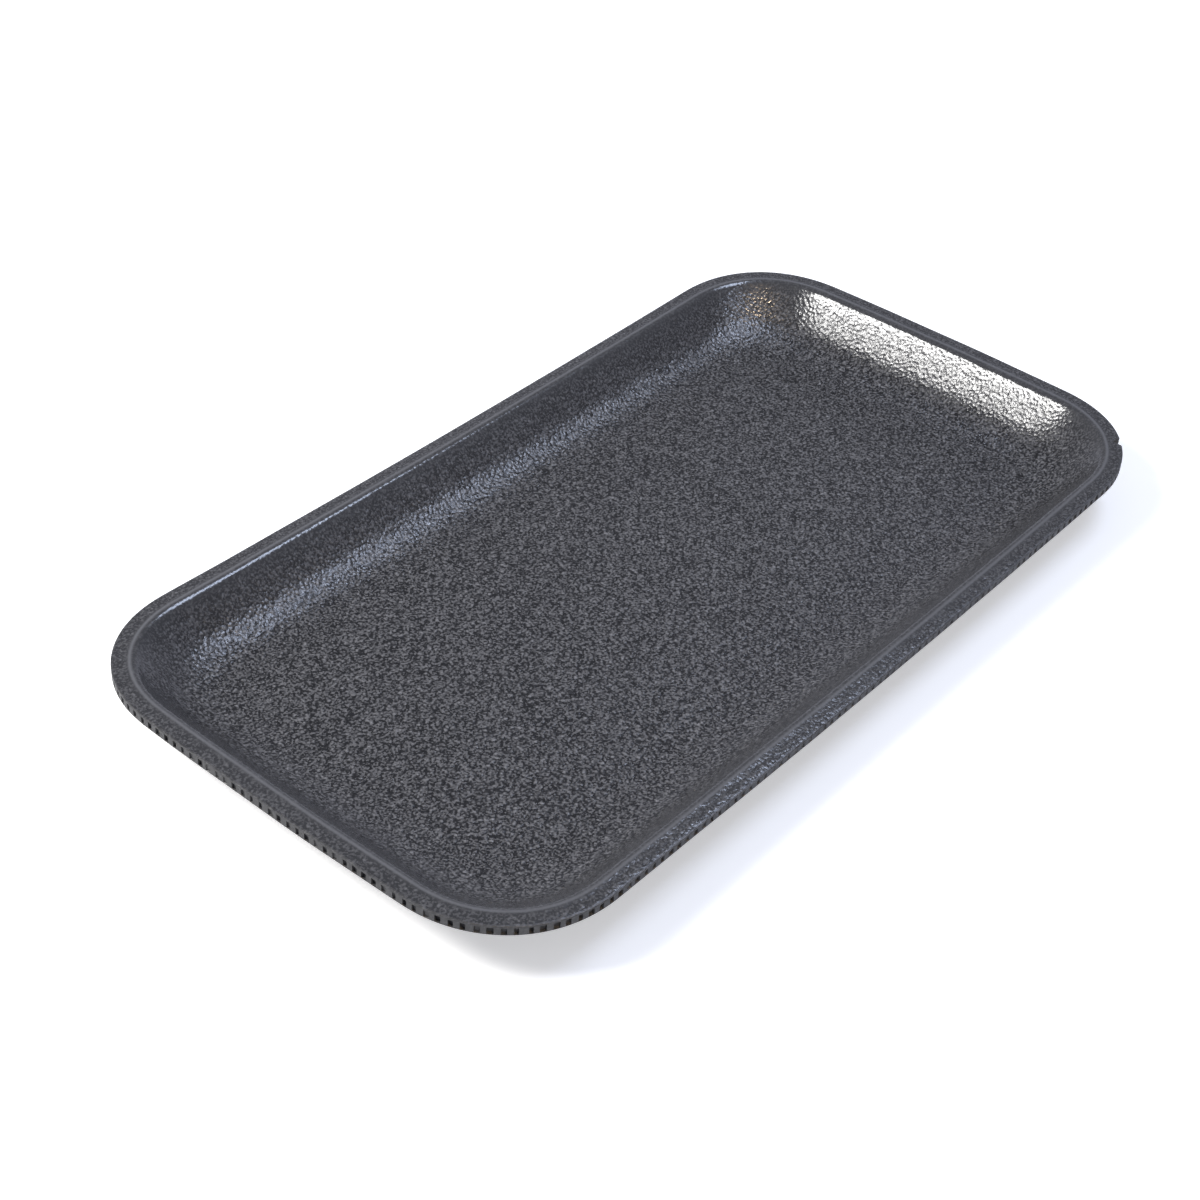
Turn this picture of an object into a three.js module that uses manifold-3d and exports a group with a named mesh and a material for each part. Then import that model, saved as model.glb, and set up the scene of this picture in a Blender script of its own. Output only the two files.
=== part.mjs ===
// A shallow foam meat tray: one moulded piece with a flat floor, sloping walls, a rounded crest and a
// narrow flange whose cut edge is notched all round.
// Millimetres, +Z up. The origin is under the middle of the tray, on the surface that it stands on.
// +X runs along the tray's length.

import * as THREE from 'three';
import Module from 'manifold-3d';

// Plan of the outer edge
const overallLength = 273;
const overallWidth = 146;
const shortSideBow = 2.0; // how far the middle of each short side stands out past its ends
const longSideBow = 0.4;
const cornerSize = 32.5; // how far each rounded corner reaches along both of its sides
const cornerFullness = 2.2; // 2 is a quarter circle, more is squarer
const innerCornerSize = 22; // the same reach where the walls run out into the floor

// Section through floor and wall
const innerDepth = 13.2; // from the crest at the corners down to the floor
const foamThickness = 3.4;
const wallSlope = 50; // degrees from level
const wallFootRadius = 15;
const floorBlendSlope = 8; // degrees: where the foot's curve passes into the wide blend
const floorBlendRadius = 60;
const longSideDip = 2.4; // how much lower the rim lies at the middle of the long sides

// Crest and flange
const crestInset = 4.1; // from the outer edge to the top of the crest
const crestRadius = 2.0;
const crestFlank = 35; // degrees from level at the crest's foot on the flange
const flangeFall = 0.1; // from the crest's foot out to the edge
const edgeHeight = 2.6; // of the cut edge
const underflangeRadius = 1.2;

// Notches in the cut edge, open at its lower side
const notchPitch = 2.87;
const notchWidth = 1.1;
const notchHeight = 1.9;
const notchDepth = 0.7;
const notchBacking = 0.4; // plain foam behind each notch, before the underside's own rings

// Nick torn in the flange at the corner of +X and -Y
const nickBearing = 48; // degrees round that corner, from its end on the short side
const nickDepth = 1.8;
const nickWidth = 2.4;

// How finely the curves are stepped
const cornerSteps = 8;
const longSideSteps = 10;
const shortSideSteps = 6;
const crestSteps = 5;
const footSteps = 4;
const blendSteps = 2;
const fineSteps = 80;

const radians = THREE.MathUtils.degToRad;

// Section: every point is [inset from the outer edge, height]

/** Points on an arc, with angles from straight up, positive inwards; a negative radius hangs them below. */
function arc([inset, height], radius, from, to, steps) {
  return Array.from({ length: steps + 1 }, (_, step) => {
    const angle = radians(from + ((to - from) * step) / steps);
    return [inset + radius * Math.sin(angle), height + radius * Math.cos(angle)];
  });
}

/** A point moved by a distance, in the direction of an angle from straight up. */
function moved([inset, height], distance, angle) {
  return [inset + distance * Math.sin(radians(angle)), height + distance * Math.cos(radians(angle))];
}

const crestHeight = foamThickness + innerDepth;
const crestCentre = [crestInset, crestHeight - crestRadius];
const crest = arc(crestCentre, crestRadius, -crestFlank, wallSlope, crestSteps);
const crestFoot = crest[0];
const wallTop = crest.at(-1);

const cosine = (degrees) => Math.cos(radians(degrees));
const curvedDrop =
  crestRadius * (1 - cosine(wallSlope)) +
  wallFootRadius * (cosine(floorBlendSlope) - cosine(wallSlope)) +
  floorBlendRadius * (1 - cosine(floorBlendSlope));
const wallLength = (innerDepth - curvedDrop) / Math.sin(radians(wallSlope));
const wallEnd = moved(wallTop, wallLength, wallSlope + 90);
const footCentre = moved(wallEnd, wallFootRadius, wallSlope);
const footEnd = moved(footCentre, -wallFootRadius, floorBlendSlope);
const blendCentre = moved(footEnd, floorBlendRadius, floorBlendSlope);
const floorInset = blendCentre[0];

const edgeTop = crestFoot[1] - flangeFall;
const edgeBottom = edgeTop - edgeHeight;
const wallBackTop = moved(wallTop, -foamThickness, wallSlope);
const backRun = (wallBackTop[1] - edgeBottom) / Math.tan(radians(wallSlope));
const underflangeCentre = [
  wallBackTop[0] + backRun - underflangeRadius * Math.tan(radians(wallSlope / 2)),
  edgeBottom - underflangeRadius,
];

// Underside, from the flat base out to the flange
const underside = [
  ...arc(blendCentre, -(floorBlendRadius + foamThickness), 0, floorBlendSlope, blendSteps),
  ...arc(footCentre, -(wallFootRadius + foamThickness), floorBlendSlope, wallSlope, footSteps).slice(1),
  ...arc(underflangeCentre, underflangeRadius, wallSlope, 0, 2),
];

// Upper side, from the flange in to the flat floor
const upside = [
  ...crest,
  ...arc(footCentre, -wallFootRadius, wallSlope, floorBlendSlope, footSteps),
  ...arc(blendCentre, -floorBlendRadius, floorBlendSlope, 0, blendSteps).slice(1),
];

// Plan: closed outlines, anticlockwise from above, that start at the corner of +X and +Y

const cornerSigns = [[1, 1], [-1, 1], [-1, -1], [1, -1]];

/** The reach of a rounded corner at an inset: it keeps an even flange, then eases to the floor's own. */
function cornerReach(inset) {
  const wallTopReach = cornerSize - wallTop[0];
  const share = THREE.MathUtils.clamp((inset - wallTop[0]) / (floorInset - wallTop[0]), 0, 1);
  return inset < wallTop[0] ? cornerSize - inset : THREE.MathUtils.lerp(wallTopReach, innerCornerSize, share);
}

/** Outline of the tray at an inset from its outer edge. */
function outline(inset, perCorner, perLongSide, perShortSide) {
  const bow = Math.max(0, 1 - inset / floorInset);
  const halfLength = overallLength / 2 - shortSideBow - inset;
  const halfWidth = overallWidth / 2 - longSideBow - inset;
  const reach = cornerReach(inset);
  const points = [];
  cornerSigns.forEach(([signX, signY], turn) => {
    for (let step = 0; step <= perCorner; step += 1) {
      const angle = ((turn + step / perCorner) * Math.PI) / 2;
      const across = Math.abs(Math.cos(angle));
      const along = Math.abs(Math.sin(angle));
      const radius = reach / (across ** cornerFullness + along ** cornerFullness) ** (1 / cornerFullness);
      points.push([
        signX * (halfLength - reach + across * radius),
        signY * (halfWidth - reach + along * radius),
      ]);
    }
    const onLongSide = turn % 2 === 0;
    const steps = onLongSide ? perLongSide : perShortSide;
    const [startX, startY] = points.at(-1);
    for (let step = 1; step < steps; step += 1) {
      const share = 1 - (2 * step) / steps;
      points.push([onLongSide ? startX * share : startX, onLongSide ? startY : startY * share]);
    }
  });
  return points.map(([x, y]) => {
    const alongX = x / halfLength;
    const alongY = y / halfWidth;
    return [
      x + Math.sign(x) * shortSideBow * bow * (1 - alongY ** 2) * alongX ** 4,
      y + Math.sign(y) * longSideBow * bow * (1 - alongX ** 2) * alongY ** 4,
    ];
  });
}

const fineEdge = outline(0, fineSteps, fineSteps, fineSteps).map(([x, y]) => new THREE.Vector2(x, y));
fineEdge.push(fineEdge[0].clone());
const edgeRuns = [0];
for (let index = 1; index < fineEdge.length; index += 1) {
  edgeRuns.push(edgeRuns[index - 1] + fineEdge[index].distanceTo(fineEdge[index - 1]));
}
const perimeter = edgeRuns.at(-1);

/** The point at a distance round the outer edge, moved straight inwards by a depth. */
function edgePoint(run, depth) {
  const next = edgeRuns.findIndex((value) => value > run);
  const start = fineEdge[next - 1];
  const end = fineEdge[next];
  const share = (run - edgeRuns[next - 1]) / (edgeRuns[next] - edgeRuns[next - 1]);
  const direction = end.clone().sub(start).normalize();
  return [
    start.x + (end.x - start.x) * share - direction.y * depth,
    start.y + (end.y - start.y) * share + direction.x * depth,
  ];
}

/** The distance round the outer edge at which it comes nearest to a point. */
function nearestRun([x, y]) {
  const gaps = fineEdge.slice(0, -1).map((point) => Math.hypot(point.x - x, point.y - y));
  const run = edgeRuns[gaps.indexOf(Math.min(...gaps))];
  return run > perimeter - cornerReach(0) / 2 ? run - perimeter : run;
}

// Mesh: rings of points, joined from the base outwards, up the cut edge and in to the floor

const positions = [];
const triangles = [];

/** Adds a point, lowered where the rim dips along the long sides, and gives its number. */
function addPoint([x, y], height) {
  const nearness = (1 - ((2 * x) / overallLength) ** 2) * ((2 * y) / overallWidth) ** 4;
  const dip = longSideDip * Math.max(0, nearness) * (height / crestHeight) ** 2;
  positions.push(x, y, height - dip);
  return positions.length / 3 - 1;
}

/** Adds a four-sided face, given anticlockwise as seen from outside. */
function addQuad(a, b, c, d) {
  triangles.push(a, b, c, a, c, d);
}

/** A ring of points at an inset and a height, each with its place round the outer edge. */
function addRing([inset, height]) {
  const points = outline(inset, cornerSteps, longSideSteps, shortSideSteps);
  return points.map((point) => ({ id: addPoint(point, height), run: nearestRun(point) }));
}

/** Joins two rings that have the same number of points. */
function bridge(first, second) {
  first.forEach((point, index) => {
    const next = (index + 1) % first.length;
    addQuad(point.id, first[next].id, second[next].id, second[index].id);
  });
}

/** Joins two rings that have different numbers of points, each in order of its run. */
function stitch(first, second) {
  const nextRun = (points, index) =>
    points[(index + 1) % points.length].run + (index + 1 < points.length ? 0 : perimeter);
  let a = 0;
  let b = 0;
  while (a < first.length || b < second.length) {
    const startA = first[a % first.length].id;
    const startB = second[b % second.length].id;
    const stepA = b === second.length || (a < first.length && nextRun(first, a) <= nextRun(second, b));
    if (stepA) {
      a += 1;
      triangles.push(startA, first[a % first.length].id, startB);
    } else {
      b += 1;
      triangles.push(startA, second[b % second.length].id, startB);
    }
  }
}

/** Closes a level ring with a fan; facing is 1 for a face that looks up and -1 for one that looks down. */
function cap(points, height, facing) {
  const centre = addPoint([0, 0], height);
  points.forEach((point, index) => {
    const next = points[(index + 1) % points.length].id;
    triangles.push(centre, facing > 0 ? point.id : next, facing > 0 ? next : point.id);
  });
}

/** The corner points of one notch: left and right in the order of the run, at three heights and depths. */
function addNotch(middle) {
  const backDepth = notchDepth + notchBacking;
  const pair = (depth, height) =>
    [middle - notchWidth / 2, middle + notchWidth / 2].map((run) => ({
      id: addPoint(edgePoint(run, depth), height),
      run,
    }));
  const notchTop = edgeBottom + notchHeight;
  return {
    backing: pair(backDepth, edgeBottom),
    innerLow: pair(notchDepth, edgeBottom),
    outerLow: pair(0, edgeBottom),
    innerTop: pair(notchDepth, notchTop),
    outerTop: pair(0, notchTop),
    brow: { id: addPoint(edgePoint(middle, 0), edgeTop), run: middle },
  };
}

/** The faces inside one notch: ceiling, back, two sides, and the strip of underside behind it. */
function closeNotch({ backing, innerLow, outerLow, innerTop, outerTop }) {
  addQuad(backing[0].id, backing[1].id, innerLow[1].id, innerLow[0].id);
  addQuad(innerLow[0].id, innerLow[1].id, innerTop[1].id, innerTop[0].id);
  addQuad(innerTop[0].id, innerTop[1].id, outerTop[1].id, outerTop[0].id);
  addQuad(outerLow[0].id, innerLow[0].id, innerTop[0].id, outerTop[0].id);
  addQuad(innerLow[1].id, outerLow[1].id, outerTop[1].id, innerTop[1].id);
}

/** The plain edge between one notch and the next: its underside and its face. */
function closeLand(notch, next) {
  addQuad(notch.backing[1].id, next.backing[0].id, next.innerLow[0].id, notch.innerLow[1].id);
  addQuad(notch.innerLow[1].id, next.innerLow[0].id, next.outerLow[0].id, notch.outerLow[1].id);
  addQuad(notch.outerLow[1].id, next.outerLow[0].id, next.outerTop[0].id, notch.outerTop[1].id);
}

const notchCount = Math.round(perimeter / notchPitch);
const notchSpacing = perimeter / notchCount;
const notches = Array.from({ length: notchCount }, (_, index) => addNotch((index + 0.5) * notchSpacing));
const baseRings = underside.map(addRing);
const upperRings = upside.map(addRing);

cap(baseRings[0], 0, -1);
baseRings.slice(1).forEach((points, index) => bridge(baseRings[index], points));
stitch(baseRings.at(-1), notches.flatMap((notch) => notch.backing));
notches.forEach((notch, index) => {
  closeNotch(notch);
  closeLand(notch, notches[(index + 1) % notchCount]);
});
stitch(notches.flatMap((notch) => notch.outerTop), notches.map((notch) => notch.brow));
stitch(notches.map((notch) => notch.brow), upperRings[0]);
upperRings.slice(1).forEach((points, index) => bridge(upperRings[index], points));
cap(upperRings.at(-1), foamThickness, 1);

// Solids for the cut

const wasm = await Module();
wasm.setup();

/** A solid from corner points and triangles. */
function solid(vertices, indices) {
  const mesh = new wasm.Mesh({
    numProp: 3,
    vertProperties: new Float32Array(vertices),
    triVerts: new Uint32Array(indices),
  });
  return new wasm.Manifold(mesh);
}

/** The wedge that the nick takes out of the flange, wide open at the edge and running through it. */
function nickWedge() {
  const bearing = radians(nickBearing);
  const [across, along] = [Math.cos(bearing), Math.sin(bearing)];
  const radius = cornerSize / (across ** cornerFullness + along ** cornerFullness) ** (1 / cornerFullness);
  const mouth = new THREE.Vector2(
    overallLength / 2 - shortSideBow - cornerSize + across * radius,
    -(overallWidth / 2 - longSideBow - cornerSize + along * radius),
  );
  const outwards = new THREE.Vector2(across, -along);
  const sideways = new THREE.Vector2(along, across);
  const tip = mouth.clone().addScaledVector(outwards, -nickDepth);
  const open = mouth.clone().addScaledVector(outwards, nickDepth);
  const left = open.clone().addScaledVector(sideways, -nickWidth);
  const right = open.clone().addScaledVector(sideways, nickWidth);
  const base = [tip, left, right].flatMap(({ x, y }) => [x, y, 0]);
  const top = [tip, left, right].flatMap(({ x, y }) => [x, y, crestHeight + crestRadius]);
  return solid([...base, ...top], [0, 2, 1, 3, 4, 5, 0, 1, 4, 0, 4, 3, 1, 2, 5, 1, 5, 4, 2, 0, 3, 2, 3, 5]);
}

const tray = solid(positions, triangles).subtract(nickWedge()).getMesh();
const geometry = new THREE.BufferGeometry();
geometry.setAttribute('position', new THREE.BufferAttribute(tray.vertProperties, 3));
geometry.setIndex(new THREE.BufferAttribute(tray.triVerts, 1));

const foam = new THREE.MeshStandardMaterial({ color: '#46464b', roughness: 0.5, metalness: 0, flatShading: true });
const trayMesh = new THREE.Mesh(geometry, foam);
trayMesh.name = 'foam_tray';

const model = new THREE.Group();
model.add(trayMesh);

export default model;
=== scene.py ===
"""A charcoal foam meat tray in fine detail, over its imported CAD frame, with its studio and camera.

Lengths are millimetres for the tray and the camera, and metres for finished meshes and the studio.
"""

import logging
import math
import random
from bisect import bisect_right
from dataclasses import dataclass, field
from enum import Enum
from typing import ClassVar

import bmesh
import bpy
from mathutils import Matrix, Vector, noise

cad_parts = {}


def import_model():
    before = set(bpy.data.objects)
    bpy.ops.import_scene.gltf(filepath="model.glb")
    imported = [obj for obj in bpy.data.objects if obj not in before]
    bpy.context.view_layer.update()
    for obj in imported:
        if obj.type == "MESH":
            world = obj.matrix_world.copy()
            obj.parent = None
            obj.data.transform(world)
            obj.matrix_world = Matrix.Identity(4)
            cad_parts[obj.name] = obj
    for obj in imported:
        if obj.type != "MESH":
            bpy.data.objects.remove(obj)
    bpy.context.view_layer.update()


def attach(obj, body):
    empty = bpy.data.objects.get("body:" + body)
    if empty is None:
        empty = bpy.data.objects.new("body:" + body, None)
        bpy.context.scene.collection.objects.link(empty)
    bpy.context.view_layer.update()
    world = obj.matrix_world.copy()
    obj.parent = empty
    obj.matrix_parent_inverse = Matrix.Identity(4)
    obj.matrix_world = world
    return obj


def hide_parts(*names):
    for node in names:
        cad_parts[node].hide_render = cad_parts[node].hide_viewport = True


Point = tuple[float, float]

MILLIMETRE = 0.001
SHARP_ANGLE = 38.0

log = logging.getLogger("foam_tray")


class Relief(Enum):
    """How strongly the foam's cells stand out, by how hard the mould pressed the foam there."""

    PRESSED = 0.25
    DRAWN = 0.5
    OPEN = 1.0


def linear_colour(code: str) -> tuple[float, float, float, float]:
    """Turns a colour as it is seen on a screen into the linear one that shaders use.

    Args:
        code: sRGB colour, such as "#46464b".

    Returns:
        Red, green, blue and a full alpha, linear.
    """
    channels = [int(code[start : start + 2], 16) / 255 for start in (1, 3, 5)]
    red, green, blue = (
        value / 12.92 if value <= 0.04045 else ((value + 0.055) / 1.055) ** 2.4
        for value in channels
    )
    return red, green, blue, 1.0


def add_node(
    tree: bpy.types.NodeTree,
    kind: str,
    options: dict[str, object] | None = None,
    **inputs: object,
) -> bpy.types.Node:
    """Adds a node to a tree, with its settings and its links.

    Args:
        tree: The node tree that gets the node.
        kind: Blender's name for the type of node.
        options: The node's own settings.
        **inputs: A value or another node's socket for each input. An input is named in lower case, with
            underscores for spaces, or by its number after "input_".

    Returns:
        The new node.
    """
    node = tree.nodes.new(kind)
    for name, value in (options or {}).items():
        setattr(node, name, value)
    by_name = {}
    for index, socket in enumerate(node.inputs):
        by_name.setdefault(socket.name.lower().replace(" ", "_"), socket)
        by_name[f"input_{index}"] = socket
    for name, value in inputs.items():
        if isinstance(value, bpy.types.NodeSocket):
            tree.links.new(value, by_name[name])
        else:
            by_name[name].default_value = value
    return node


def new_tree(owner: bpy.types.Material | bpy.types.World) -> bpy.types.NodeTree:
    """Switches a material or a world to nodes and empties its tree.

    Args:
        owner: The material or the world.

    Returns:
        Its empty node tree.
    """
    owner.use_nodes = True
    owner.node_tree.nodes.clear()
    return owner.node_tree


@dataclass(frozen=True)
class Ring:
    """One closed line round the tray: how far in from its outer edge it runs, and how high.

    It also says how strongly the cells stand out along it, whether the notches go through it, whether it lies
    on the cut edge, which gets painted shade, and how much a painted highlight lightens its skin.
    """

    inset: float
    height: float
    relief: float = Relief.OPEN.value
    notched: bool = False
    cut: bool = False
    rub: float = 0.0


@dataclass(frozen=True)
class TraySection:
    """The tray's section from its base, round the flange, to its floor.

    A flange ring is an inset and the share of the groove's depth that it is sunk by. The groove ends with one
    that is given by its gap to the crest's foot instead. Slopes are in degrees.
    """

    foam: float = 3.4
    inner_depth: float = 13.2
    wall_slope: float = 50.0
    foot_radius: float = 15.0
    blend_slope: float = 8.0
    blend_radius: float = 60.0
    crest_inset: float = 4.1
    crest_radius: float = 2.5
    crest_flank: float = 5.0
    crest_steps: int = 12
    flange_fall: float = 0.12
    flange_rings: tuple[Point, ...] = ((0.7, 0.0), (1.4, 0.0), (2.0, 0.0), (2.35, 0.6), (2.7, 1.0))
    edge_height: float = 2.8
    underflange_radius: float = 1.2
    edge_rounding: float = 0.22
    groove_depth: float = 0.06
    groove_end: Point = (0.25, 0.25)
    # The next two place the crest's painted highlight: the slope it centres on and how far it reaches, in
    # degrees.
    rub_slope: float = 2.0
    rub_reach: float = 15.0
    notch_height: float = 2.3
    notch_depth: float = 0.9
    notch_lip: float = 0.3
    notch_sill: float = 0.1
    notch_brow: float = 0.15
    notch_backing: float = 0.5
    relief_run: float = 10.0
    floor_rings: tuple[float, ...] = (4.0, 9.0, 17.0)

    @staticmethod
    def arc(centre: Point, radius: float, start: float, stop: float, steps: int) -> list[Point]:
        """Points on an arc of the section.

        Args:
            centre: The arc's centre, as inset and height.
            radius: Its radius. A negative one hangs the arc under its centre.
            start: First angle in degrees, from straight up and positive inwards.
            stop: Last angle.
            steps: Number of steps between the two.

        Returns:
            The points, as inset and height.
        """
        angles = [math.radians(start + (stop - start) * step / steps) for step in range(steps + 1)]
        return [
            (centre[0] + radius * math.sin(angle), centre[1] + radius * math.cos(angle))
            for angle in angles
        ]

    @staticmethod
    def moved(point: Point, distance: float, angle: float) -> Point:
        """Moves a point of the section.

        Args:
            point: Where it starts, as inset and height.
            distance: How far it moves.
            angle: In which direction, in degrees from straight up and positive inwards.

        Returns:
            The new point.
        """
        turn = math.radians(angle)
        return point[0] + distance * math.sin(turn), point[1] + distance * math.cos(turn)

    @property
    def crest_height(self) -> float:
        """Height of the crest's top at the corners."""
        return self.foam + self.inner_depth

    @property
    def crest_centre(self) -> Point:
        """Centre of the crest's rounding."""
        return self.crest_inset, self.crest_height - self.crest_radius

    @property
    def wall_top(self) -> Point:
        """Where the crest runs out into the wall."""
        return self.arc(self.crest_centre, self.crest_radius, 0, self.wall_slope, steps=1)[-1]

    @property
    def crest_foot(self) -> Point:
        """Where the crest meets the flange."""
        return self.arc(self.crest_centre, self.crest_radius, -self.crest_flank, 0, steps=1)[0]

    @property
    def foot_centre(self) -> Point:
        """Centre of the curve at the wall's foot.

        It lies where the straight part of the wall is just as long as the inner depth asks for.

        Returns:
            The centre, as inset and height.
        """
        slope, blend = (math.cos(math.radians(angle)) for angle in (self.wall_slope, self.blend_slope))
        curved = (
            self.crest_radius * (1 - slope)
            + self.foot_radius * (blend - slope)
            + self.blend_radius * (1 - blend)
        )
        length = (self.inner_depth - curved) / math.sin(math.radians(self.wall_slope))
        wall_end = self.moved(self.wall_top, length, self.wall_slope + 90)
        return self.moved(wall_end, self.foot_radius, self.wall_slope)

    @property
    def blend_centre(self) -> Point:
        """Centre of the wide curve between foot and floor."""
        foot_end = self.moved(self.foot_centre, -self.foot_radius, self.blend_slope)
        return self.moved(foot_end, self.blend_radius, self.blend_slope)

    @property
    def floor_inset(self) -> float:
        """Where the level floor starts."""
        return self.blend_centre[0]

    @property
    def edge_top(self) -> float:
        """Height of the cut edge's upper side."""
        return self.crest_foot[1] - self.flange_fall

    @property
    def edge_bottom(self) -> float:
        """Height of the cut edge's lower side."""
        return self.edge_top - self.edge_height

    def underside(self) -> list[Ring]:
        """Rings from the middle of the base out to the edge.

        Returns:
            The rings, in order.
        """
        foam = self.foam
        wall_back = self.moved(self.wall_top, -foam, self.wall_slope)
        back_run = (wall_back[1] - self.edge_bottom) / math.tan(math.radians(self.wall_slope))
        half_slope = math.radians(self.wall_slope / 2)
        fillet = (
            wall_back[0] + back_run - self.underflange_radius * math.tan(half_slope),
            self.edge_bottom - self.underflange_radius,
        )
        blend_radius, foot_radius = -(self.blend_radius + foam), -(self.foot_radius + foam)
        blend = self.arc(self.blend_centre, blend_radius, 0, self.blend_slope, steps=3)
        foot = self.arc(self.foot_centre, foot_radius, self.blend_slope, self.wall_slope, steps=6)
        under = self.arc(fillet, self.underflange_radius, self.wall_slope, 0, steps=3)
        inner = [(self.floor_inset + step, 0.0) for step in reversed(self.floor_rings[1:])]
        plain = [Ring(*point) for point in [*inner, *blend, *foot[1:], *under]]
        backing = Ring(self.notch_depth + self.notch_backing, self.edge_bottom, Relief.DRAWN.value)
        return [*plain, backing]

    def edge(self) -> list[Ring]:
        """Rings up the cut edge, with the notches between its lip and its upper part.

        Returns:
            The rings, in order.
        """
        rounding, bottom, top = self.edge_rounding, self.edge_bottom, self.edge_top
        # The middle of a quarter circle lies 0.3 of its radius in from the corner that it rounds.
        bevel = rounding * 0.3
        notch_top = bottom + self.notch_height
        pressed, drawn = Relief.PRESSED.value, Relief.DRAWN.value
        return [
            Ring(rounding, bottom, pressed, cut=True),
            Ring(0.0, bottom + rounding, pressed, cut=True),
            Ring(0.0, bottom + self.notch_lip, pressed, cut=True),
            Ring(0.0, bottom + self.notch_lip + self.notch_sill, pressed, notched=True, cut=True),
            Ring(0.0, notch_top - self.notch_brow, pressed, notched=True, cut=True),
            Ring(0.0, notch_top, pressed, cut=True),
            Ring(0.0, top - rounding, pressed, cut=True),
            Ring(bevel, top - bevel, drawn, cut=True),
            Ring(rounding, top, drawn, cut=True),
        ]

    def upside(self) -> list[Ring]:
        """Rings from the flange in to the middle of the floor.

        Returns:
            The rings, in order.
        """
        start, stop, steps = -self.crest_flank, self.wall_slope, self.crest_steps
        crest = self.arc(self.crest_centre, self.crest_radius, start, stop, steps)
        slopes = [start + step * (stop - start) / steps for step in range(steps + 1)]
        top = [
            Ring(*point, Relief.PRESSED.value, rub=self.rub_at(slope))
            for point, slope in zip(crest, slopes)
        ]
        foot = self.arc(self.foot_centre, -self.foot_radius, self.wall_slope, self.blend_slope, steps=8)
        blend = self.arc(self.blend_centre, -self.blend_radius, self.blend_slope, 0, steps=4)
        middle = [
            tuple(a + (b - a) * share for a, b in zip(crest[-1], foot[0])) for share in (1 / 3, 2 / 3)
        ]
        inner = [(self.floor_inset + step, self.foam) for step in self.floor_rings]
        walls = [Ring(*point, self.relief_at(point[0])) for point in [*middle, *foot, *blend[1:], *inner]]
        return [*self.flange(), *top, *walls]

    def flange(self) -> list[Ring]:
        """Rings across the flange, from the cut edge in to the crest, with the groove.

        Returns:
            The rings, in order.
        """
        foot_inset, foot_height = self.crest_foot
        drawn, pressed = Relief.DRAWN.value, Relief.PRESSED.value
        gap, end_share = self.groove_end
        lines = [(inset, share, drawn) for inset, share in self.flange_rings]
        lines.append((foot_inset - gap, end_share, pressed))
        rings = []
        for inset, groove_share, relief in lines:
            fall = self.flange_fall * ((foot_inset - inset) / foot_inset)
            rings.append(Ring(inset, foot_height - fall - self.groove_depth * groove_share, relief))
        return rings

    def rub_at(self, slope: float) -> float:
        """How much a painted highlight lightens the skin where the crest has a slope: most along its very
        top.

        Args:
            slope: The crest's slope in degrees, positive on the side of the wall.

        Returns:
            The share, from 0 to 1.
        """
        return max(0.0, 1 - abs(slope - self.rub_slope) / self.rub_reach)

    def relief_at(self, inset: float) -> float:
        """How strongly the cells stand out on wall and floor: weakest beside the crest.

        Args:
            inset: Distance in from the outer edge.

        Returns:
            The relief, between that of drawn foam and that of the open floor.
        """
        share = min(1.0, max(0.0, (inset - self.wall_top[0]) / self.relief_run))
        return Relief.DRAWN.value + (Relief.OPEN.value - Relief.DRAWN.value) * share


@dataclass(frozen=True)
class TrayPlan:
    """The tray's plan: an oblong with full corners and slightly bowed sides, and how its rim dips."""

    length: float = 273.0
    width: float = 146.0
    short_side_bow: float = 2.0
    long_side_bow: float = 0.4
    corner: float = 32.5
    inner_corner: float = 22.0
    fullness: float = 2.2
    long_side_dip: float = 2.4
    side_falloff: int = 4

    def corner_reach(self, inset: float, section: TraySection) -> float:
        """How far a corner's rounding reaches along its sides.

        Args:
            inset: Distance in from the outer edge.
            section: The section, which says where the wall starts and ends.

        Returns:
            The reach.
        """
        top = section.wall_top[0]
        if inset < top:
            return self.corner - inset
        share = min(1.0, (inset - top) / (section.floor_inset - top))
        return (self.corner - top) * (1 - share) + self.inner_corner * share

    def corner_radius(self, reach: float, across: float, along: float) -> float:
        """How far a corner's curve lies from its centre in one direction.

        Args:
            reach: How far the corner's rounding reaches along its sides.
            across: The direction's x, without its sign.
            along: Its y, without its sign.

        Returns:
            The distance.
        """
        return reach / (across**self.fullness + along**self.fullness) ** (1 / self.fullness)

    def at(self, inset: float, place: float, section: TraySection) -> Point:
        """A point of the outline.

        Args:
            inset: Distance in from the outer edge.
            place: Where on the outline, from 0 to 8: each corner and each side takes up 1, in turn.
            section: The section, which says where the wall starts and ends.

        Returns:
            Its x and y.
        """
        part, share = int(place) % 8, place - int(place)
        corner, on_side = divmod(part, 2)
        half_length = self.length / 2 - self.short_side_bow - inset
        half_width = self.width / 2 - self.long_side_bow - inset
        reach = self.corner_reach(inset, section)
        angle = math.radians((corner + (1.0 if on_side else share)) * 90)
        across, along = abs(math.cos(angle)), abs(math.sin(angle))
        radius = self.corner_radius(reach, across, along)
        x = (1 if corner in (0, 3) else -1) * (half_length - reach + across * radius)
        y = (1 if corner in (0, 1) else -1) * (half_width - reach + along * radius)
        if on_side and corner % 2 == 0:
            x *= 1 - 2 * share
        elif on_side:
            y *= 1 - 2 * share
        bow = max(0.0, 1 - inset / section.floor_inset)
        along_x, along_y = x / half_length, y / half_width
        falloff = self.side_falloff
        return (
            x + math.copysign(self.short_side_bow, x) * bow * (1 - along_y**2) * along_x**falloff,
            y + math.copysign(self.long_side_bow, y) * bow * (1 - along_x**2) * along_y**falloff,
        )

    def dip(self, x: float, y: float) -> float:
        """How far the rim lies below its corners over a point of the plan.

        Args:
            x: The point's place along the tray.
            y: Its place across the tray.

        Returns:
            The dip, full in the middle of a long side.
        """
        near = (1 - (2 * x / self.length) ** 2) * (2 * y / self.width) ** self.side_falloff
        return self.long_side_dip * max(0.0, near)


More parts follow.
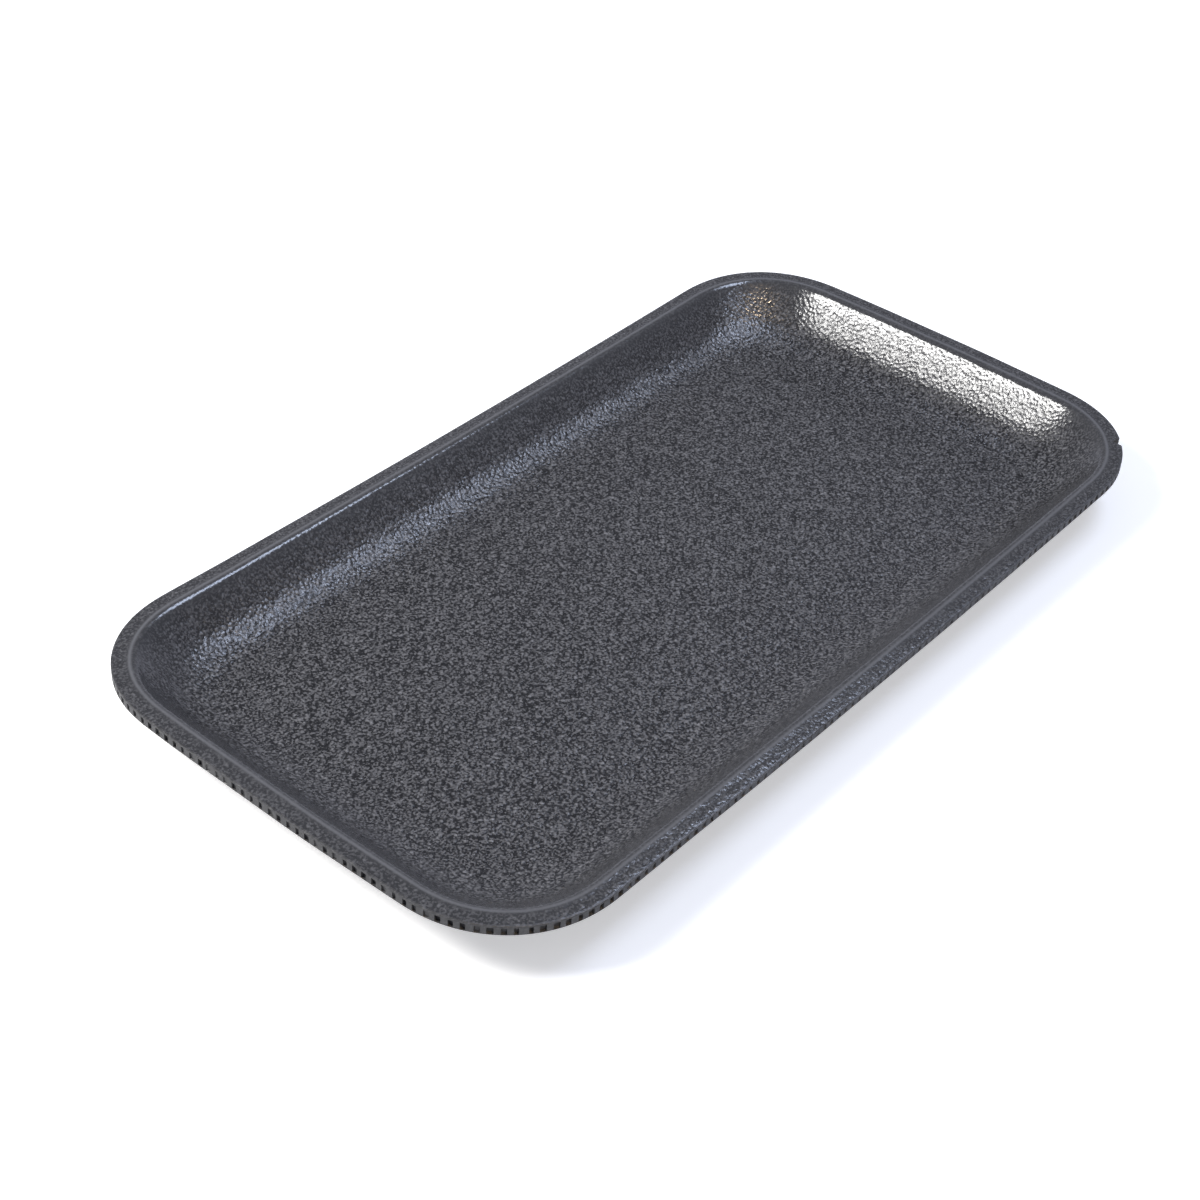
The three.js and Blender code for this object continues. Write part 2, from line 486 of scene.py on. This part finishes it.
@dataclass(frozen=True)
class Column:
    """One line across the section: where it stands on the outline, and how deep its notch is."""

    place: float
    notch: float = 0.0


@dataclass(frozen=True)
class NotchRow:
    """The notches in the cut edge. Half width, side and shift are shares of their pitch."""

    pitch: float = 2.87
    half_width: float = 0.2
    side: float = 0.03
    shift: float = 0.2
    unevenness: float = 0.6
    corner_strength: float = 1.0
    short_side_strength: float = 0.7
    long_side_strength: float = 0.4
    fade_share: float = 0.25
    samples: int = 4000
    seed: int = 5

    def strength(self, place: float) -> float:
        """How deep the notches are at a place on the outline: deepest where a corner bunches the foam.

        Args:
            place: Where on the outline, from 0 to 8.

        Returns:
            The depth, as a share of the full one.
        """
        corner, share = divmod(place % 8, 2)
        if share <= 1:
            return self.corner_strength
        side = self.short_side_strength if int(corner) % 2 else self.long_side_strength
        fade = min(1.0, min(share - 1, 2 - share) / self.fade_share)
        return self.corner_strength + (side - self.corner_strength) * fade

    def columns(self, plan: TrayPlan, section: TraySection) -> list[Column]:
        """Spaces the section lines round the tray so that each notch has five of its own.

        Args:
            plan: The tray's plan.
            section: The tray's section.

        Returns:
            The columns in order round the outer edge.
        """
        samples = self.samples
        places = [8 * sample / samples for sample in range(samples + 1)]
        points = [plan.at(0.0, place % 8, section) for place in places]
        runs = [0.0]
        for before, after in zip(points, points[1:]):
            runs.append(runs[-1] + math.dist(before, after))
        count = round(runs[-1] / self.pitch)
        spacing = runs[-1] / count
        draw = random.Random(self.seed)
        columns = []
        for index in range(count):
            depth = 1 - self.unevenness * draw.random()
            half = self.half_width * (1 + self.unevenness * (draw.random() - 0.5))
            middle = 0.5 + self.shift * self.unevenness * (draw.random() - 0.5)
            inner, outer = half - self.side, half + self.side
            shares = [(0.0, 0.0), (middle - outer, 0.0), (middle - inner, depth)]
            shares += [(middle + inner, depth), (middle + outer, 0.0)]
            for share, notch in shares:
                run = (index + share) * spacing
                after = min(bisect_right(runs, run), samples)
                part = (run - runs[after - 1]) / (runs[after] - runs[after - 1])
                place = places[after - 1] + part * (places[after] - places[after - 1])
                columns.append(Column(place, notch * self.strength(place)))
        return columns


@dataclass(frozen=True)
class Nick:
    """The small wedge that is torn out of the flange at one corner.

    Its bearing is in degrees from the tray's length towards its near side. The shade says how much painted
    shade darkens its faces.
    """

    bearing: float = 48.0
    depth: float = 2.2
    half_angle: float = 41.0
    reach: float = 9.0
    shade: float = 0.8
    tolerance: float = 0.01

    def cut(self, mesh: bmesh.types.BMesh, plan: TrayPlan) -> None:
        """Cuts the wedge out of the flange and closes its two faces.

        Args:
            mesh: The closed tray, in millimetres.
            plan: The tray's plan, which places the corner.
        """
        bearing = math.radians(self.bearing)
        across, along = math.cos(bearing), math.sin(bearing)
        radius = plan.corner_radius(plan.corner, across, along)
        outwards = Vector((across, -along, 0.0))
        centre = Vector(
            (
                plan.length / 2 - plan.short_side_bow - plan.corner,
                -(plan.width / 2 - plan.long_side_bow - plan.corner),
                0.0,
            )
        )
        tip = centre + outwards * (radius - self.depth)

        def near() -> list[bmesh.types.BMFace]:
            """Finds the faces round the wedge.

            Returns:
                The faces within the nick's reach.
            """
            return [
                face
                for face in mesh.faces
                if (face.calc_center_median() - tip).xy.length < self.reach
            ]

        normals = [
            Matrix.Rotation(side * math.radians(90 - self.half_angle), 3, "Z") @ outwards
            for side in (1, -1)
        ]
        for normal in normals:
            faces = near()
            edges = {edge for face in faces for edge in face.edges}
            verts = {vert for face in faces for vert in face.verts}
            bmesh.ops.bisect_plane(
                mesh, geom=[*faces, *edges, *verts], dist=0.0001, plane_co=tip, plane_no=normal
            )
        torn = [
            face
            for face in near()
            if all((face.calc_center_median() - tip).dot(normal) > 0 for normal in normals)
        ]
        bmesh.ops.delete(mesh, geom=torn, context="FACES")
        rim = [edge for edge in mesh.edges if edge.is_boundary]
        corners = {vert for edge in rim for vert in edge.verts}
        inmost = min((vert.co - tip).dot(outwards) for vert in corners)
        tips = [vert for vert in corners if (vert.co - tip).dot(outwards) < inmost + self.tolerance]
        tips.sort(key=lambda vert: vert.co.z)
        joined = bmesh.ops.contextual_create(mesh, geom=[tips[0], tips[-1]])["edges"]
        bmesh.ops.edgenet_fill(mesh, edges=[*rim, *joined])
        # The nick's faces get painted shade.
        painted_shade = mesh.verts.layers.float["painted_shade"]
        for vert in corners:
            vert[painted_shade] = self.shade


@dataclass(frozen=True)
class PointLayers:
    """What the mesh keeps for each of its points.

    The column is the section line it lies on. Relief says how strongly the cells stand out. The second float
    layer says how much painted shade darkens it, in a notch, in the nick or on the cut edge, and the third
    how much a painted highlight lightens it along the crest's top.
    """

    NAMES: ClassVar[tuple[str, str, str]] = ("relief", "painted_shade", "rub")

    column: bmesh.types.BMLayerItem
    relief: bmesh.types.BMLayerItem
    painted_shade: bmesh.types.BMLayerItem
    rub: bmesh.types.BMLayerItem

    @classmethod
    def added_to(cls, mesh: bmesh.types.BMesh) -> "PointLayers":
        """Adds the layers to a mesh.

        Args:
            mesh: The mesh, which is still empty.

        Returns:
            The layers.
        """
        layers = mesh.verts.layers
        return cls(layers.int.new("column"), *(layers.float.new(name) for name in cls.NAMES))


@dataclass(frozen=True)
class FoamFinish:
    """Expanded polystyrene sheet with a charcoal pigment, thermoformed.

    Its skin is satin, and the closed cells under it stand out as fine beads that glint one by one, partly
    through a painted glint in each bead's colour. Where the mould drew or pressed the sheet, at crest and
    flange, they are flattened and the skin is smoother.
    """

    name: str = "Charcoal_thermoformed_polystyrene_foam"
    skin: str = "#3f3f40"
    pale_cell: str = "#7a797a"
    dark_cell: str = "#0b0b0c"
    # The colour of the painted highlight along the crest's top.
    rubbed: str = "#636365"
    # The colour of the painted shade in the notches, the nick and on the cut edge.
    painted_shade: str = "#1a1a1c"
    cell_size: float = 1.05
    fine_cell_size: float = 0.6
    # The next two are the distances from a cell's middle at which its painted glint starts and is full.
    glint_foot: float = 0.62
    glint_top: float = 0.15
    speckle_low: float = 0.46
    speckle_high: float = 0.63
    speckle_share: float = 0.5
    cell_relief: float = 0.17
    fine_relief: float = 0.09
    wave_length: float = 14.0
    wave_relief: float = 0.3
    wave_strength: float = 0.5
    refraction: float = 1.59
    roughness: float = 0.27
    glossier: float = 0.05
    duller: float = 0.07
    pressed_roughness: float = 0.16
    painted_shade_roughness: float = 0.9

    def material(self) -> bpy.types.Material:
        """Builds the foam's material.

        Returns:
            The material.
        """
        material = bpy.data.materials.new(self.name)
        tree = new_tree(material)
        place = add_node(tree, "ShaderNodeTexCoord").outputs["Object"]
        relief, painted_shade, rub = (
            add_node(tree, "ShaderNodeAttribute", {"attribute_name": name}).outputs["Fac"]
            for name in PointLayers.NAMES
        )
        # The foam's closed cells are 0.3 to 1 mm wide, and one pattern of them runs through the whole sheet.
        # The smallest don't show in the render, so the pattern is drawn at the upper end of that.
        cells = add_node(
            tree,
            "ShaderNodeTexVoronoi",
            {"feature": "F1"},
            vector=place,
            scale=1 / (self.cell_size * MILLIMETRE),
            randomness=1.0,
        )
        fine = add_node(
            tree,
            "ShaderNodeTexNoise",
            vector=place,
            scale=1 / (self.fine_cell_size * MILLIMETRE),
            detail=1.0,
            roughness=0.5,
        ).outputs["Fac"]
        broad = add_node(
            tree,
            "ShaderNodeTexNoise",
            vector=place,
            scale=1 / (self.wave_length * MILLIMETRE),
            detail=2.0,
            roughness=0.5,
        ).outputs["Fac"]
        # Each cell takes up the pigment a little differently, and a painted glint makes it palest in the
        # middle.
        share = add_node(
            tree, "ShaderNodeSeparateColor", color=cells.outputs["Color"]
        ).outputs["Red"]
        painted_glint = add_node(
            tree,
            "ShaderNodeMapRange",
            {"interpolation_type": "SMOOTHSTEP"},
            value=cells.outputs["Distance"],
            from_min=self.glint_foot,
            from_max=self.glint_top,
        ).outputs["Result"]
        speckle = add_node(
            tree,
            "ShaderNodeMapRange",
            {"interpolation_type": "SMOOTHSTEP"},
            value=fine,
            from_min=self.speckle_low,
            from_max=self.speckle_high,
        ).outputs["Result"]
        cell_tone_and_glint = add_node(
            tree, "ShaderNodeMath", {"operation": "MULTIPLY"}, input_0=share, input_1=painted_glint
        ).outputs[0]
        shade = add_node(
            tree,
            "ShaderNodeMix",
            {"data_type": "FLOAT"},
            input_0=self.speckle_share,
            input_2=cell_tone_and_glint,
            input_3=speckle,
        ).outputs[0]
        cell_colour = add_node(
            tree,
            "ShaderNodeMix",
            {"data_type": "RGBA"},
            input_0=shade,
            input_6=linear_colour(self.dark_cell),
            input_7=linear_colour(self.pale_cell),
        ).outputs[2]
        foam_colour = add_node(
            tree,
            "ShaderNodeMix",
            {"data_type": "RGBA"},
            input_0=relief,
            input_6=linear_colour(self.skin),
            input_7=cell_colour,
        ).outputs[2]
        # Painted highlight: the crest's very top is lightened towards a pale grey.
        highlighted_colour = add_node(
            tree,
            "ShaderNodeMix",
            {"data_type": "RGBA"},
            input_0=rub,
            input_6=foam_colour,
            input_7=linear_colour(self.rubbed),
        ).outputs[2]
        # Painted shade: the notches, the nick and the cut edge are darkened towards a near-black, and they
        # are matt.
        colour = add_node(
            tree,
            "ShaderNodeMix",
            {"data_type": "RGBA"},
            input_0=painted_shade,
            input_6=highlighted_colour,
            input_7=linear_colour(self.painted_shade),
        ).outputs[2]
        bead = add_node(
            tree,
            "ShaderNodeMath",
            {"operation": "MULTIPLY"},
            input_0=cells.outputs["Distance"],
            input_1=relief,
        ).outputs[0]
        cell_bump = add_node(
            tree,
            "ShaderNodeBump",
            {"invert": True},
            strength=1.0,
            distance=self.cell_relief * MILLIMETRE,
            height=bead,
        ).outputs["Normal"]
        grit = add_node(
            tree, "ShaderNodeMath", {"operation": "MULTIPLY"}, input_0=fine, input_1=relief
        ).outputs[0]
        fine_bump = add_node(
            tree,
            "ShaderNodeBump",
            strength=1.0,
            distance=self.fine_relief * MILLIMETRE,
            height=grit,
            normal=cell_bump,
        ).outputs["Normal"]
        # Sheet that was drawn warm is never quite flat, so its reflections waver.
        normal = add_node(
            tree,
            "ShaderNodeBump",
            strength=self.wave_strength,
            distance=self.wave_relief * MILLIMETRE,
            height=broad,
            normal=fine_bump,
        ).outputs["Normal"]
        # Cells differ in gloss. The skin shines most where the mould pressed it, and the notches are matt.
        bead_gloss = add_node(
            tree,
            "ShaderNodeMapRange",
            value=share,
            to_min=self.roughness - self.glossier,
            to_max=self.roughness + self.duller,
        ).outputs["Result"]
        skin_gloss = add_node(
            tree,
            "ShaderNodeMapRange",
            value=relief,
            from_min=Relief.PRESSED.value,
            from_max=Relief.OPEN.value,
            to_min=self.pressed_roughness,
            to_max=bead_gloss,
        ).outputs["Result"]
        gloss = add_node(
            tree,
            "ShaderNodeMix",
            {"data_type": "FLOAT"},
            input_0=painted_shade,
            input_2=skin_gloss,
            input_3=self.painted_shade_roughness,
        ).outputs[0]
        shader = add_node(
            tree,
            "ShaderNodeBsdfPrincipled",
            base_color=colour,
            metallic=0.0,
            roughness=gloss,
            ior=self.refraction,
            normal=normal,
        ).outputs["BSDF"]
        add_node(tree, "ShaderNodeOutputMaterial", surface=shader)
        return material


@dataclass
class FoamTray:
    """The whole tray, thermoformed from one sheet of foam."""

    node: str = "foam_tray"
    piece: str = "foam_tray_fine"
    section: TraySection = field(default_factory=TraySection)
    plan: TrayPlan = field(default_factory=TrayPlan)
    notches: NotchRow = field(default_factory=NotchRow)
    nick: Nick = field(default_factory=Nick)
    finish: FoamFinish = field(default_factory=FoamFinish)
    edge_wobble: float = 0.18
    # How much painted shade darkens the cut edge.
    cut_shade: float = 0.35
    rim_wobble: float = 0.16
    wobble_length: float = 22.0
    wobble_reach: float = 9.0
    rim_noise_height: float = 7.0

    def position(self, ring: Ring, column: Column) -> Vector:
        """Where a ring crosses a column.

        Args:
            ring: The ring, with its inset and height.
            column: The column, with its place on the outline.

        Returns:
            The point, in millimetres.
        """
        section, plan = self.section, self.plan
        edge_x, edge_y = plan.at(0.0, column.place, section)
        spot = Vector((edge_x, edge_y, 0.0)) / self.wobble_length
        near_edge = max(0.0, 1 - ring.inset / self.wobble_reach)
        inset = ring.inset + self.edge_wobble * near_edge * (0.5 + 0.5 * noise.noise(spot))
        if ring.notched:
            inset += section.notch_depth * column.notch
        x, y = plan.at(inset, column.place, section)
        high = ring.height / section.crest_height
        sag = plan.dip(x, y) * high**2
        spot.z = self.rim_noise_height
        sag += self.rim_wobble * high**3 * (0.5 + 0.5 * noise.noise(spot))
        return Vector((x, y, ring.height - sag))

    def build(self) -> bpy.types.Object:
        """Builds the tray ring by ring from the base, round the flange, to the floor.

        Returns:
            The tray's object, in metres.
        """
        section = self.section
        rings = [*section.underside(), *section.edge(), *section.upside()]
        columns = self.notches.columns(self.plan, section)
        mesh = bmesh.new()
        layers = PointLayers.added_to(mesh)
        made = bmesh.ops.create_circle(mesh, segments=len(columns), radius=1.0)["verts"]
        for index, vert in enumerate(made):
            vert[layers.column] = index
        loop = list(mesh.edges)
        self.place_ring(made, rings[0], columns, layers)
        bmesh.ops.triangle_fill(mesh, use_beauty=True, edges=loop)
        for ring in rings[1:]:
            extruded = bmesh.ops.extrude_edge_only(mesh, edges=loop)["geom"]
            made = [part for part in extruded if isinstance(part, bmesh.types.BMVert)]
            fresh = set(made)
            loop = [
                part
                for part in extruded
                if isinstance(part, bmesh.types.BMEdge) and fresh.issuperset(part.verts)
            ]
            self.place_ring(made, ring, columns, layers)
        bmesh.ops.triangle_fill(mesh, use_beauty=True, edges=loop)
        bmesh.ops.recalc_face_normals(mesh, faces=list(mesh.faces))
        self.nick.cut(mesh, self.plan)
        bmesh.ops.recalc_face_normals(mesh, faces=list(mesh.faces))
        bmesh.ops.scale(mesh, vec=(MILLIMETRE,) * 3, verts=list(mesh.verts))
        return finished_object(self.piece, mesh)

    def place_ring(
        self,
        verts: list[bmesh.types.BMVert],
        ring: Ring,
        columns: list[Column],
        layers: PointLayers,
    ) -> None:
        """Puts the points of one ring in place.

        Args:
            verts: The ring's points.
            ring: The ring.
            columns: All columns.
            layers: The mesh's layers.
        """
        # Notches and the cut edge get painted shade, and the crest's top a painted highlight.
        cut_shade = self.cut_shade if ring.cut else 0.0
        for vert in verts:
            column = columns[vert[layers.column]]
            vert.co = self.position(ring, column)
            vert[layers.relief] = ring.relief
            vert[layers.rub] = ring.rub
            vert[layers.painted_shade] = max(cut_shade, column.notch if ring.notched else 0.0)

    def dress(self) -> bpy.types.Object:
        """Builds the tray, gives it its finish and stands it in for the CAD solid.

        Returns:
            The tray's object.
        """
        tray = self.build()
        tray.data.materials.append(self.finish.material())
        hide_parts(self.node)
        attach(tray, "root")
        return tray


def finished_object(name: str, mesh: bmesh.types.BMesh) -> bpy.types.Object:
    """Makes an object of a finished mesh, smooth with its sharp edges kept.

    Args:
        name: The object's name.
        mesh: The finished mesh, in metres. It is freed.

    Returns:
        The object, linked to the scene.
    """
    data = bpy.data.meshes.new(name)
    mesh.to_mesh(data)
    mesh.free()
    data.polygons.foreach_set("use_smooth", [True] * len(data.polygons))
    data.set_sharp_from_angle(angle=math.radians(SHARP_ANGLE))
    made = bpy.data.objects.new(name, data)
    bpy.context.scene.collection.objects.link(made)
    return made


@dataclass(frozen=True)
class Lamp:
    """A soft lamp. Its level is the share of plain white that it gives a surface facing it.

    One that is only mirrored stands for a bright thing nearby: it shows in the gloss and adds no light.
    """

    name: str
    spot: tuple[float, float, float]
    towards: tuple[float, float, float]
    distance: float
    size: tuple[float, float]
    level: float
    colour: str
    mirrored_only: bool = False

    def hang(self) -> bpy.types.Object:
        """Hangs the lamp, aimed at its spot.

        Returns:
            The lamp's object.
        """
        light = bpy.data.lights.new(self.name, "AREA")
        light.shape = "RECTANGLE"
        light.size, light.size_y = self.size
        light.color = linear_colour(self.colour)[:3]
        light.energy = self.level * math.pi**2 * self.distance**2
        lamp = bpy.data.objects.new(self.name, light)
        bpy.context.scene.collection.objects.link(lamp)
        lamp.visible_diffuse = not self.mirrored_only
        towards = Vector(self.towards).normalized()
        lamp.location = Vector(self.spot) + towards * self.distance
        lamp.rotation_mode = "QUATERNION"
        lamp.rotation_quaternion = towards.to_track_quat("Z", "Y")
        return lamp


@dataclass(frozen=True)
class Studio:
    """Plain pale floor, soft lamps, and a surrounding light that fades from the horizon upwards."""

    floor_size: float = 4.0
    floor_colour: str = "#f4f3f1"
    floor_roughness: float = 0.9
    floor_specular: float = 0.1
    floor_glow: float = 0.45
    world_colour: str = "#eaedff"
    zenith_level: float = 0.36
    zenith_start: float = 0.42
    horizon_level: float = 0.75
    horizon_end: float = 0.08
    lamps: tuple[Lamp, ...] = (
        Lamp(
            "Key_lamp",
            spot=(0.128, 0.0, 0.01),
            towards=(-0.65, 0.406, 0.64),
            distance=1.0,
            size=(0.3, 0.28),
            level=0.86,
            colour="#fffefc",
        ),
        Lamp(
            "Sky_lamp",
            spot=(-0.085, 0.045, 0.006),
            towards=(0.5, -0.2, 0.845),
            distance=1.0,
            size=(0.46, 0.2),
            level=0.36,
            colour="#d6e3ff",
        ),
        Lamp(
            "Amber_card",
            spot=(0.122, 0.055, 0.01),
            towards=(-0.344, -0.572, 0.738),
            distance=1.0,
            size=(0.12, 0.1),
            level=0.9,
            colour="#ffe2c0",
            mirrored_only=True,
        ),
    )

    def floor(self) -> bpy.types.Object:
        """Lays the floor.

        Returns:
            The floor's object.
        """
        mesh = bmesh.new()
        bmesh.ops.create_grid(mesh, x_segments=1, y_segments=1, size=self.floor_size)
        floor = finished_object("Studio_floor", mesh)
        material = bpy.data.materials.new("Matt_paper")
        tree = new_tree(material)
        shader = add_node(
            tree,
            "ShaderNodeBsdfPrincipled",
            base_color=linear_colour(self.floor_colour),
            roughness=self.floor_roughness,
            specular_ior_level=self.floor_specular,
        )
        # The paper glows for the camera alone, so that it shows white and adds no light to the tray.
        seen = add_node(tree, "ShaderNodeLightPath").outputs["Is Camera Ray"]
        glow = add_node(
            tree,
            "ShaderNodeMath",
            {"operation": "MULTIPLY"},
            input_0=seen,
            input_1=self.floor_glow,
        ).outputs[0]
        white = add_node(tree, "ShaderNodeEmission", strength=glow)
        both = add_node(
            tree,
            "ShaderNodeAddShader",
            input_0=shader.outputs["BSDF"],
            input_1=white.outputs["Emission"],
        )
        add_node(tree, "ShaderNodeOutputMaterial", surface=both.outputs["Shader"])
        floor.data.materials.append(material)
        return floor

    def light(self) -> bpy.types.World:
        """Hangs the lamps and sets the surrounding light.

        Returns:
            The world that gives the surrounding light.
        """
        for lamp in self.lamps:
            lamp.hang()
        world = bpy.data.worlds.new("Studio_light")
        sky = new_tree(world)
        # The white surroundings stand round the tray, so the light is strongest from low down.
        direction = add_node(sky, "ShaderNodeTexCoord").outputs["Generated"]
        height = add_node(sky, "ShaderNodeSeparateXYZ", vector=direction).outputs["Z"]
        level = add_node(
            sky,
            "ShaderNodeMapRange",
            {"interpolation_type": "SMOOTHSTEP"},
            value=height,
            from_min=self.horizon_end,
            from_max=self.zenith_start,
            to_min=self.horizon_level,
            to_max=self.zenith_level,
        ).outputs["Result"]
        glow = add_node(
            sky,
            "ShaderNodeBackground",
            color=linear_colour(self.world_colour),
            strength=level,
        )
        # The camera sees plain white round the tray, whatever light falls on it.
        seen = add_node(sky, "ShaderNodeLightPath").outputs["Is Camera Ray"]
        backdrop = add_node(sky, "ShaderNodeBackground", strength=1.0)
        both = add_node(
            sky,
            "ShaderNodeMixShader",
            input_0=seen,
            input_1=glow.outputs["Background"],
            input_2=backdrop.outputs["Background"],
        )
        add_node(sky, "ShaderNodeOutputWorld", surface=both.outputs["Shader"])
        bpy.context.scene.world = world
        return world


@dataclass(frozen=True)
class PhotoCamera:
    """The camera at the photograph's viewing angle, in millimetres and degrees."""

    azimuth: float = -52.11
    elevation: float = 38.49
    roll: float = 3.84
    distance: float = 563.455
    aim: tuple[float, float, float] = (-16.915, 4.198, 2.592)
    lens: float = 65.76
    sensor: float = 36.0
    nearest: float = 10.0

    def stand(self) -> bpy.types.Object:
        """Sets the camera up as the scene's own.

        Returns:
            The camera's object.
        """
        azimuth, elevation, roll = map(math.radians, (self.azimuth, self.elevation, self.roll))
        back = Vector(
            (
                math.sin(azimuth) * math.cos(elevation),
                -math.cos(azimuth) * math.cos(elevation),
                math.sin(elevation),
            )
        )
        right = Vector((math.cos(azimuth), math.sin(azimuth), 0.0))
        turned = Matrix.Rotation(roll, 3, back) @ right
        data = bpy.data.cameras.new("Photo_camera")
        data.lens = self.lens
        data.sensor_width = self.sensor
        data.clip_start = self.nearest * MILLIMETRE
        camera = bpy.data.objects.new("Photo_camera", data)
        bpy.context.scene.collection.objects.link(camera)
        axes = Matrix((turned, back.cross(turned), back)).transposed()
        camera.matrix_world = Matrix.Translation(
            (Vector(self.aim) + back * self.distance) * MILLIMETRE
        ) @ axes.to_4x4()
        bpy.context.scene.camera = camera
        return camera


def main() -> None:
    """Builds the tray, its studio and its camera in order, and reports each piece."""
    logging.basicConfig(level=logging.INFO, format="%(name)s: %(message)s")
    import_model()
    PhotoCamera().stand()
    studio = Studio()
    for make in (FoamTray().dress, studio.floor):
        piece = make()
        log.info("%s: %d faces", piece.name, len(piece.data.polygons))
    studio.light()
    bpy.context.scene.view_settings.view_transform = "Standard"


if __name__ == "__main__":
    main()
